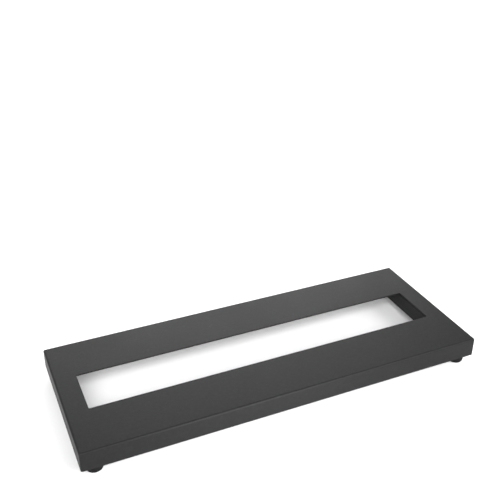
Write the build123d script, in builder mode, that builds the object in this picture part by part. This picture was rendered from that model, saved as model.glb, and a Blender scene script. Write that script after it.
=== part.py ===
from build123d import *
import os

# A small pedalboard. One sheet of steel is folded down on all four sides into a shallow
# pan, with a long cable slot cut through its top. A folded channel is welded under each
# short end, and a rubber foot is screwed to each channel near each corner.
#
# Millimetres. X runs along the board, Y from the player to the back, Z up. The origin is
# the middle of the footprint, on the surface that the feet stand on.

# Board
board_length = 457.0
board_depth = 178.0
skirt_height = 22.4
deck_gauge = 1.6
fold_radius = 2.0  # outside of the fold between the top and each skirt
corner_radius = 2.0  # outside of the four upright corners, welded and ground
edge_break = 0.35  # rounding that deburring and the powder coat leave on cut edges

# Cable slot
end_rail_width = 24.0
long_rail_width = 60.3
slot_corner_radius = 1.2

# End channels
channel_gauge = 1.5
channel_fold_radius = 2.0
web_setback = 0.4  # from the slot's end back to the channel's web
top_flange_width = 14.0
weld_gap = 0.1  # fit-up gap between a channel and the pan around it

# Feet
foot_height = 10.0
foot_top_diameter = 18.6
foot_bottom_diameter = 17.4
foot_edge_radius = 2.5
foot_bore_diameter = 5.0
foot_recess_diameter = 9.6
foot_recess_depth = 4.0
foot_from_end = 15.0
foot_from_side = 12.0

# Moulded-in washer: large M4 washer, 12 x 4.3 x 1
washer_diameter = 12.0
washer_hole_diameter = 4.3
washer_thickness = 1.0

# Pan-head cross-recess screw, M4 x 12
screw_diameter = 4.0
screw_length = 12.0
screw_head_diameter = 8.0
screw_head_height = 3.1
screw_head_crown = 1.9  # radius that rounds the rim of the head
screw_tip_chamfer = 0.5
recess_span = 4.4
recess_arm_width = 1.0
recess_depth = 2.0
recess_taper = 8.0

# Hexagon weld nut, M4, on the inside of the channel
nut_across_flats = 9.0
nut_height = 3.5
nut_bore_diameter = 4.1
nut_chamfer = 0.4
screw_hole_diameter = 4.5

# Derived heights
skirt_bottom = foot_height
board_top = skirt_bottom + skirt_height
deck_underside = board_top - deck_gauge
flange_top = skirt_bottom + channel_gauge
washer_bottom = foot_recess_depth
washer_top = washer_bottom + washer_thickness

# Derived plan sizes
slot_length = board_length - 2 * end_rail_width
slot_width = board_depth - 2 * long_rail_width
inner_fold_radius = fold_radius - deck_gauge
skirt_inside_x = board_length / 2 - deck_gauge
skirt_inside_y = board_depth / 2 - deck_gauge
web_face_x = slot_length / 2 + web_setback
channel_half_length = skirt_inside_y - inner_fold_radius - weld_gap
foot_x = board_length / 2 - foot_from_end
foot_y = board_depth / 2 - foot_from_side

corners = {
    "front_left": (-foot_x, -foot_y),
    "front_right": (foot_x, -foot_y),
    "back_left": (-foot_x, foot_y),
    "back_right": (foot_x, foot_y),
}


def upright_section(x, y):
    """The plane through an upright axis at (x, y), its own x along the board and y up."""
    return Plane(origin=(x, y, 0), x_dir=(1, 0, 0), z_dir=(0, -1, 0))


def upright_axis(x, y):
    return Axis((x, y, 0), (0, 0, 1))


def make_deck():
    """The folded pan: top, four skirts, and the cable slot."""
    with BuildPart() as deck:
        with BuildSketch(Plane.XY.offset(skirt_bottom)):
            RectangleRounded(board_length, board_depth, corner_radius)
        extrude(amount=skirt_height)
        fillet(deck.faces().sort_by(Axis.Z)[-1].edges(), radius=fold_radius)
        offset(amount=-deck_gauge, openings=deck.faces().sort_by(Axis.Z)[0])
        with BuildSketch(Plane.XY.offset(deck_underside)):
            RectangleRounded(slot_length, slot_width, slot_corner_radius)
        extrude(amount=deck_gauge, mode=Mode.SUBTRACT)
        top_face = deck.faces().filter_by(Axis.Z).sort_by(Axis.Z)[-1]
        under_face = deck.faces().filter_by(Axis.Z).sort_by(Axis.Z)[-2]
        rim_face = deck.faces().filter_by(Axis.Z).sort_by(Axis.Z)[0]
        slot_edges = top_face.inner_wires()[0].edges() + under_face.inner_wires()[0].edges()
        fillet(slot_edges + rim_face.edges(), radius=edge_break)
    return deck.part


def make_end_channel(side):
    """A folded channel under one end: its web faces the slot, its flanges run outwards."""
    middle = channel_gauge / 2
    web_x = web_face_x + middle
    low_z = skirt_bottom + middle
    high_z = deck_underside - middle
    with BuildPart() as channel:
        with BuildSketch(Plane.XZ):
            with BuildLine():
                FilletPolyline(
                    (side * (web_face_x + top_flange_width), high_z),
                    (side * web_x, high_z),
                    (side * web_x, low_z),
                    (side * (skirt_inside_x - weld_gap), low_z),
                    radius=channel_fold_radius - middle,
                )
            trace(line_width=channel_gauge)
        extrude(amount=channel_half_length, both=True)
        with Locations((side * foot_x, -foot_y, flange_top), (side * foot_x, foot_y, flange_top)):
            Hole(radius=screw_hole_diameter / 2, depth=channel_gauge)
    return channel.part


def make_foot(x, y):
    """A tapered rubber foot with a screw recess below and a groove round its washer."""
    with BuildPart() as foot:
        with BuildSketch(upright_section(x, y)):
            with BuildLine():
                Polyline(
                    (foot_recess_diameter / 2, 0),
                    (foot_bottom_diameter / 2, 0),
                    (foot_top_diameter / 2, foot_height),
                    (foot_bore_diameter / 2, foot_height),
                    (foot_bore_diameter / 2, washer_top),
                    (washer_diameter / 2, washer_top),
                    (washer_diameter / 2, washer_bottom),
                    (foot_recess_diameter / 2, washer_bottom),
                    close=True,
                )
            make_face()
        revolve(axis=upright_axis(x, y))
        ground_edges = foot.faces().sort_by(Axis.Z)[0].edges().sort_by(SortBy.RADIUS)
        fillet(ground_edges[-1], radius=foot_edge_radius)
        fillet(ground_edges[0], radius=edge_break)
    return foot.part


def make_washer(x, y):
    with BuildPart() as washer:
        with BuildSketch(Plane((x, y, washer_bottom))):
            Circle(washer_diameter / 2)
            Circle(washer_hole_diameter / 2, mode=Mode.SUBTRACT)
        extrude(amount=washer_thickness)
    return washer.part


def make_screw(x, y):
    """The screw stands head down: its head hangs under the washer, its shank points up."""
    head_face_z = washer_bottom - screw_head_height
    with BuildPart() as screw:
        with BuildSketch(Plane((x, y, head_face_z))):
            Circle(screw_head_diameter / 2)
        extrude(amount=screw_head_height)
        fillet(screw.faces().sort_by(Axis.Z)[0].edges(), radius=screw_head_crown)
        with BuildSketch(Plane((x, y, washer_bottom))):
            Circle(screw_diameter / 2)
        extrude(amount=screw_length)
        chamfer(screw.faces().sort_by(Axis.Z)[-1].edges(), length=screw_tip_chamfer)
        with BuildSketch(Plane((x, y, head_face_z))):
            Rectangle(recess_span, recess_arm_width)
            Rectangle(recess_arm_width, recess_span)
        extrude(amount=recess_depth, taper=recess_taper, mode=Mode.SUBTRACT)
    return screw.part


def make_nut(x, y):
    """The weld nut on the inside of the channel's bottom flange."""
    with BuildPart() as nut:
        with BuildSketch(Plane((x, y, flange_top))):
            RegularPolygon(nut_across_flats / 2, side_count=6, major_radius=False)
            Circle(nut_bore_diameter / 2, mode=Mode.SUBTRACT)
        extrude(amount=nut_height)
        top_face = nut.faces().sort_by(Axis.Z)[-1]
        chamfer(top_face.inner_wires()[0].edges(), length=nut_chamfer)
    return nut.part


pieces = {
    "deck": make_deck(),
    "left_end_channel": make_end_channel(-1),
    "right_end_channel": make_end_channel(1),
}
for corner, (x, y) in corners.items():
    pieces["foot_" + corner] = make_foot(x, y)
    pieces["foot_washer_" + corner] = make_washer(x, y)
    pieces["foot_screw_" + corner] = make_screw(x, y)
    pieces["foot_nut_" + corner] = make_nut(x, y)

os.makedirs("parts", exist_ok=True)
for name, piece in pieces.items():
    piece.label = name
    export_step(piece, "parts/" + name + ".step")
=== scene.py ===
import math
import random

import bmesh
import bpy
from mathutils import Matrix, Vector


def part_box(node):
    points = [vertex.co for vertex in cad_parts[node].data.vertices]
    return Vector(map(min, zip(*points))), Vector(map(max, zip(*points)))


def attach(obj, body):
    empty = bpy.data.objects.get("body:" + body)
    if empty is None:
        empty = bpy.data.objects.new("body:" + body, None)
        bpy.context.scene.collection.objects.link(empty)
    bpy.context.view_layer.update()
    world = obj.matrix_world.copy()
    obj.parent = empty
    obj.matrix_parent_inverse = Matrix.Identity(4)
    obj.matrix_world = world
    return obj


# The looks of a small powder-coated pedalboard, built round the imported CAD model. Every CAD
# node keeps its own shape and gets a material here, and the weld beads are added to it.
# Metres, in the model's own frame: X along the board, Y to the back, Z up, floor at zero.

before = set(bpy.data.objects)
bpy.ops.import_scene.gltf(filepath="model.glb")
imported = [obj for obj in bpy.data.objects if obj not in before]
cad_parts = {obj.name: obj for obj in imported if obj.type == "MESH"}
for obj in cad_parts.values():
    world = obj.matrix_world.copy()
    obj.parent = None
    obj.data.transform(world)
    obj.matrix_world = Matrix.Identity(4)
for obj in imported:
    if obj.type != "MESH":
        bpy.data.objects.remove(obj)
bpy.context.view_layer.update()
MM = 0.001

DECK_LOW, DECK_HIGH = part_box("deck")
BOARD_LENGTH = DECK_HIGH.x - DECK_LOW.x

scene = bpy.context.scene


# Camera -------------------------------------------------------------------------------

SENSOR_WIDTH = 36  # millimetres, as the lens
CAMERA_LENS = 54.1
CAMERA_HEADING = math.radians(-24.08)  # turned to the right of straight ahead
CAMERA_PITCH = math.radians(29.01)  # downwards
CAMERA_ROLL = math.radians(0.24)
# Board lengths from the front left corner of the top
CAMERA_OFFSET = Vector((-0.1454, -1.1755, 1.1061))
NEAREST_SEEN, FARTHEST_SEEN = 0.01, 50


def make_camera():
    """A camera in front of the board and to its left, looking down over it."""
    data = bpy.data.cameras.new("camera")
    data.sensor_width = SENSOR_WIDTH
    data.lens = CAMERA_LENS
    data.clip_start = NEAREST_SEEN
    data.clip_end = FARTHEST_SEEN
    camera = bpy.data.objects.new("camera", data)
    scene.collection.objects.link(camera)
    corner = Vector((DECK_LOW.x, DECK_LOW.y, DECK_HIGH.z))
    place = Matrix.Translation(corner + CAMERA_OFFSET * BOARD_LENGTH)
    heading = Matrix.Rotation(CAMERA_HEADING, 4, "Z")
    pitch = Matrix.Rotation(math.pi / 2 - CAMERA_PITCH, 4, "X")
    roll = Matrix.Rotation(CAMERA_ROLL, 4, "Z")
    camera.matrix_world = place @ heading @ pitch @ roll
    scene.camera = camera


# Light and floor ----------------------------------------------------------------------

FLOOR_REACH = 30  # from the middle to each side
FLOOR_CELLS = 8  # along each side
FLOOR_GAP = 0.0001  # keeps the floor just clear of the flat undersides of the feet
SUN_WIDTH = math.radians(34)  # as wide as a large soft box looks from the board
HORIZON_TOP = math.sin(math.radians(8))  # sine of the elevation where the fade starts
OVERHEAD_START = math.sin(math.radians(24))  # and where it ends


def make_area_light(name, place, aim, size, power):
    """A rectangular panel at place that faces aim, with its power in watts."""
    data = bpy.data.lights.new(name, "AREA")
    data.shape = "RECTANGLE"
    data.size, data.size_y = size
    data.energy = power
    light = bpy.data.objects.new(name, data)
    light.location = place
    light.rotation_euler = (Vector(aim) - Vector(place)).to_track_quat("-Z", "Y").to_euler()
    scene.collection.objects.link(light)


def make_sun(name, place, strength):
    """Broad soft light from the direction of place, the same all over the floor."""
    data = bpy.data.lights.new(name, "SUN")
    data.angle = SUN_WIDTH
    data.energy = strength
    light = bpy.data.objects.new(name, data)
    light.rotation_euler = Vector(place).to_track_quat("Z", "Y").to_euler()
    scene.collection.objects.link(light)


def make_world(horizon, overhead):
    """Plain white surroundings that fade from the horizon's brightness to that overhead."""
    world = bpy.data.worlds.new("studio")
    world.use_nodes = True
    tree = world.node_tree
    direction = tree.nodes.new("ShaderNodeTexCoord").outputs["Generated"]
    height = tree.nodes.new("ShaderNodeSeparateXYZ")
    tree.links.new(direction, height.inputs["Vector"])
    fade = tree.nodes.new("ShaderNodeMapRange")
    fade.interpolation_type = "SMOOTHSTEP"
    fade.inputs["From Min"].default_value = HORIZON_TOP
    fade.inputs["From Max"].default_value = OVERHEAD_START
    fade.inputs["To Min"].default_value = horizon
    fade.inputs["To Max"].default_value = overhead
    tree.links.new(height.outputs["Z"], fade.inputs["Value"])
    background = tree.nodes["Background"]
    background.inputs["Color"].default_value = (1, 1, 1, 1)
    tree.links.new(fade.outputs["Result"], background.inputs["Strength"])
    scene.world = world


def make_floor(material):
    """A wide level floor under the feet."""
    mesh = bpy.data.meshes.new("floor")
    builder = bmesh.new()
    bmesh.ops.create_grid(builder, x_segments=FLOOR_CELLS, y_segments=FLOOR_CELLS, size=FLOOR_REACH)
    builder.to_mesh(mesh)
    builder.free()
    floor = bpy.data.objects.new("floor", mesh)
    mesh.materials.append(material)
    floor.location.z = -FLOOR_GAP
    scene.collection.objects.link(floor)


# Materials ----------------------------------------------------------------------------


class Material:
    """A node material with one Principled shader, and short calls to add nodes to it.

    Patterns follow object coordinates, so their grain is in metres on every piece.
    """

    def __init__(self, name):
        self.material = bpy.data.materials.new(name)
        self.material.use_nodes = True
        self.tree = self.material.node_tree
        self.shader = self.tree.nodes["Principled BSDF"]
        self.place = self.tree.nodes.new("ShaderNodeTexCoord").outputs["Object"]

    def set(self, **values):
        """Plain values for the shader's sockets, with _ for each space in a name."""
        for name, value in values.items():
            self.shader.inputs[name.replace("_", " ")].default_value = value

    def link(self, output, socket):
        """Feeds a node's output to the shader's socket."""
        self.tree.links.new(output, self.shader.inputs[socket])

    def noise(self, grain, detail=2.0, roughness=0.5):
        """Noise whose blotches are about one grain across, in metres."""
        node = self.tree.nodes.new("ShaderNodeTexNoise")
        node.inputs["Scale"].default_value = 1 / grain
        node.inputs["Detail"].default_value = detail
        node.inputs["Roughness"].default_value = roughness
        self.tree.links.new(self.place, node.inputs["Vector"])
        return node.outputs["Fac"]

    def ramp(self, factor, *stops):
        """Colours at positions along factor, each stop a (position, colour) pair."""
        node = self.tree.nodes.new("ShaderNodeValToRGB")
        elements = node.color_ramp.elements
        while len(elements) < len(stops):
            elements.new(0.5)
        for element, (position, colour) in zip(elements, stops):
            element.position = position
            element.color = (*colour, 1)
        self.tree.links.new(factor, node.inputs["Fac"])
        return node.outputs["Color"]

    def map(self, factor, low, high, start=0.3, end=0.7):
        """factor stretched from start..end to low..high."""
        node = self.tree.nodes.new("ShaderNodeMapRange")
        node.inputs["From Min"].default_value = start
        node.inputs["From Max"].default_value = end
        node.inputs["To Min"].default_value = low
        node.inputs["To Max"].default_value = high
        self.tree.links.new(factor, node.inputs["Value"])
        return node.outputs["Result"]

    def add(self, first, second):
        """The sum of two outputs."""
        node = self.tree.nodes.new("ShaderNodeMath")
        node.operation = "ADD"
        self.tree.links.new(first, node.inputs[0])
        self.tree.links.new(second, node.inputs[1])
        return node.outputs["Value"]

    def bump(self, height, depth, below=None):
        """height, from 0 to 1, as relief depth metres deep, on top of the relief below."""
        node = self.tree.nodes.new("ShaderNodeBump")
        node.inputs["Distance"].default_value = depth
        self.tree.links.new(height, node.inputs["Height"])
        if below:
            self.tree.links.new(below, node.inputs["Normal"])
        return node.outputs["Normal"]


def powder_coat():
    """Black satin powder coat: fine orange peel, faint mottling and handling smudges."""
    coat = Material("powder_coat")
    coat.set(IOR=1.5, Specular_IOR_Level=0.16)
    mottling = coat.noise(3.5 * MM, detail=4, roughness=0.6)
    colour = coat.ramp(
        mottling,
        (0.30, (0.0064, 0.0064, 0.0066)),
        (0.55, (0.0080, 0.0080, 0.0082)),
        (0.75, (0.0104, 0.0104, 0.0107)),
    )
    coat.link(colour, "Base Color")
    grain_roughness = coat.map(coat.noise(0.9 * MM), 0.44, 0.52)
    smudge_roughness = coat.map(coat.noise(55 * MM, detail=5), -0.015, 0.02)
    coat.link(coat.add(grain_roughness, smudge_roughness), "Roughness")
    orange_peel = coat.bump(coat.noise(1.6 * MM, detail=1), 0.05 * MM)
    powder_grain = coat.bump(coat.noise(0.35 * MM, detail=2), 0.02 * MM, below=orange_peel)
    coat.link(powder_grain, "Normal")
    return coat.material


def foot_rubber():
    """Matt black moulded rubber with a fine eroded mould texture and a little bloom."""
    rubber = Material("foot_rubber")
    rubber.set(IOR=1.5, Specular_IOR_Level=0.12)
    bloom = rubber.noise(4 * MM, detail=5, roughness=0.65)
    colour = rubber.ramp(
        bloom,
        (0.30, (0.0045, 0.0045, 0.0047)),
        (0.60, (0.0065, 0.0065, 0.0067)),
        (0.80, (0.0100, 0.0100, 0.0103)),
    )
    rubber.link(colour, "Base Color")
    rubber.link(rubber.map(rubber.noise(1.2 * MM), 0.68, 0.85), "Roughness")
    texture = rubber.bump(rubber.noise(0.5 * MM, detail=3), 0.04 * MM)
    rubber.link(texture, "Normal")
    return rubber.material


def zinc_plate():
    """Bright zinc plate with a faint passivation tint and a fine grain."""
    zinc = Material("zinc_plate")
    zinc.set(Metallic=1.0)
    tint = zinc.noise(2.5 * MM, detail=3)
    colour = zinc.ramp(
        tint,
        (0.30, (0.56, 0.60, 0.66)),
        (0.55, (0.64, 0.65, 0.65)),
        (0.80, (0.70, 0.67, 0.58)),
    )
    zinc.link(colour, "Base Color")
    zinc.link(zinc.map(zinc.noise(0.8 * MM), 0.26, 0.40), "Roughness")
    zinc.link(zinc.bump(zinc.noise(0.3 * MM), 0.008 * MM), "Normal")
    return zinc.material


def floor_paint():
    """Plain pale studio floor, very slightly uneven."""
    paint = Material("floor_paint")
    paint.set(Roughness=0.9, Specular_IOR_Level=0.2)
    shade = paint.noise(0.4, detail=2)
    paint.link(paint.ramp(shade, (0.3, (0.86,) * 3), (0.7, (0.88,) * 3)), "Base Color")
    return paint.material


def dress_node(name, material):
    """Gives a CAD node one material in every slot."""
    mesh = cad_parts[name].data
    if not mesh.materials:
        mesh.materials.append(material)
    for index in range(len(mesh.materials)):
        mesh.materials[index] = material


# Welds --------------------------------------------------------------------------------

WELD_PITCH = 1.5 * MM  # from one ripple to the next
RINGS_PER_RIPPLE = 6
RING_POINTS = 11
RIPPLE_HEIGHT = 0.10  # of the bead's own height
RIPPLE_BOW = 0.5  # pitches that a ripple's two ends trail behind its middle
SMALLEST_RIPPLE, LARGEST_RIPPLE = 0.90, 1.05  # of the bead's own size
RIPPLE_SEED = 11
END_SIZE = 0.15  # a bead's first and last rings, of its own size
ROOT_SINK = 0.25 * MM  # how far the root of a seam or top bead lies inside the metal
FILLET_SWEEP = math.pi / 2
SEAM_SWEEP = math.pi

# Seam beads join a channel to the end skirt along their lower edges
SEAM_HALF_WIDTH = 1.5 * MM
SEAM_CROWN = 0.6 * MM
SEAM_LENGTH = 20 * MM
SEAM_SPREAD = 48 * MM  # from the middle seam bead to the outer two

# Corner beads run up where a channel's web meets a long skirt
CORNER_LEG = 2.3 * MM
CORNER_CLEARANCE = 2.5 * MM  # from a corner bead's ends to the channel's top and bottom

# Top beads lie between a channel's web and the underside of the top
TOP_LEG = 2.4 * MM
TOP_NEAR, TOP_FAR = 40 * MM, 62 * MM  # from mid-depth to a bead's two ends

CHANNEL_FOLD = 2.0 * MM  # outside radius
DECK_GAUGE = 1.6 * MM


def bead_ring(centre, side_a, side_b, sweep, trail):
    """The outline of a bead across its length: its root, then an arc from side_a.

    The arc turns through sweep by way of side_b, and its two ends trail behind its middle.
    """
    ring = [centre]
    for index in range(RING_POINTS):
        part = index / (RING_POINTS - 1)
        angle = sweep * part
        lateral = 2 * part - 1
        arm = side_a * math.cos(angle) + side_b * math.sin(angle)
        ring.append(centre + arm - trail * lateral**2)
    return ring


def skin_mesh(name, rings):
    """A closed smooth mesh over rings of points, which all have the same length."""
    builder = bmesh.new()
    loops = [[builder.verts.new(point) for point in ring] for ring in rings]
    for near, far in zip(loops, loops[1:]):
        for index in range(len(near)):
            after = (index + 1) % len(near)
            builder.faces.new((near[index], near[after], far[after], far[index]))
    builder.faces.new(loops[0])
    builder.faces.new(reversed(loops[-1]))
    bmesh.ops.recalc_face_normals(builder, faces=builder.faces)
    for face in builder.faces:
        face.smooth = True
    mesh = bpy.data.meshes.new(name)
    builder.to_mesh(mesh)
    builder.free()
    return mesh


def weld_bead(name, start, end, side_a, side_b, sweep, rng):
    """A rippled weld from start to end, coated as the metal round it."""
    start, end = Vector(start), Vector(end)
    side_a, side_b = Vector(side_a), Vector(side_b)
    run = end - start
    trail = run.normalized() * RIPPLE_BOW * WELD_PITCH
    ripples = round(run.length / WELD_PITCH)
    steps = ripples * RINGS_PER_RIPPLE
    end_length = max(side_a.length, side_b.length)
    rings = []
    for step in range(steps + 1):
        along = step / steps
        if step % RINGS_PER_RIPPLE == 0:
            size = rng.uniform(SMALLEST_RIPPLE, LARGEST_RIPPLE)
        phase = step % RINGS_PER_RIPPLE / RINGS_PER_RIPPLE
        ripple = size * (1 + RIPPLE_HEIGHT * (math.sin(math.pi * phase) - 0.5))
        from_end = min(along, 1 - along) * run.length / end_length
        roundness = math.sqrt(1 - (1 - min(from_end, 1)) ** 2)
        reach = ripple * max(roundness, END_SIZE)
        centre = start + run * along
        rings.append(bead_ring(centre, side_a * reach, side_b * reach, sweep, trail))
    mesh = skin_mesh(name, rings)
    mesh.materials.append(COAT)
    bead = bpy.data.objects.new(name, mesh)
    scene.collection.objects.link(bead)
    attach(bead, "root")


def weld_channel(node, side, rng):
    """The beads that hold one end channel in the pan: outer seam, corners and top."""
    low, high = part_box(node)
    outer_x = high.x if side > 0 else low.x
    web_x = low.x if side > 0 else high.x
    seam_z = low.z + ROOT_SINK
    top_x = web_x + side * CHANNEL_FOLD / 2
    top_z = high.z - ROOT_SINK
    for label, middle_y in (("front", -SEAM_SPREAD), ("middle", 0), ("back", SEAM_SPREAD)):
        weld_bead(
            f"{node}_seam_weld_{label}",
            (outer_x, middle_y - SEAM_LENGTH / 2, seam_z),
            (outer_x, middle_y + SEAM_LENGTH / 2, seam_z),
            (SEAM_HALF_WIDTH, 0, 0),
            (0, 0, -SEAM_CROWN - ROOT_SINK),
            SEAM_SWEEP,
            rng,
        )
    for label, edge_y, inwards in (("front", DECK_LOW.y, 1), ("back", DECK_HIGH.y, -1)):
        skirt_y = edge_y + inwards * DECK_GAUGE
        weld_bead(
            f"{node}_corner_weld_{label}",
            (web_x, skirt_y, low.z + CORNER_CLEARANCE),
            (web_x, skirt_y, high.z - CORNER_CLEARANCE),
            (-side * CORNER_LEG, 0, 0),
            (0, inwards * CORNER_LEG, 0),
            FILLET_SWEEP,
            rng,
        )
        weld_bead(
            f"{node}_top_weld_{label}",
            (top_x, -inwards * TOP_FAR, top_z),
            (top_x, -inwards * TOP_NEAR, top_z),
            (-side * TOP_LEG, 0, 0),
            (0, 0, -TOP_LEG),
            FILLET_SWEEP,
            rng,
        )


make_camera()
scene.view_settings.view_transform = "Standard"
make_world(horizon=1.0, overhead=0.68)
make_sun("front_left", place=(-0.66, -1.47, 1.2), strength=3.1)
make_sun("front_right", place=(1.2, -1.5, 1.3), strength=2.4)
make_area_light(
    "front_card",
    place=(-0.01, -0.255, 0.025),
    aim=(-0.01, -0.089, 0.012),
    size=(0.25, 0.042),
    power=0.50,
)
make_area_light(
    "back_panel",
    place=(0.68, 2.1, 1.05),
    aim=(0.05, 0, 0),
    size=(1.8, 0.8),
    power=29,
)
make_floor(floor_paint())

COAT = powder_coat()
RUBBER = foot_rubber()
ZINC = zinc_plate()
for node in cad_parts:
    if node.startswith(("foot_washer", "foot_screw", "foot_nut")):
        dress_node(node, ZINC)
    elif node.startswith("foot"):
        dress_node(node, RUBBER)
    else:
        dress_node(node, COAT)

weld_rng = random.Random(RIPPLE_SEED)
weld_channel("left_end_channel", -1, weld_rng)
weld_channel("right_end_channel", 1, weld_rng)
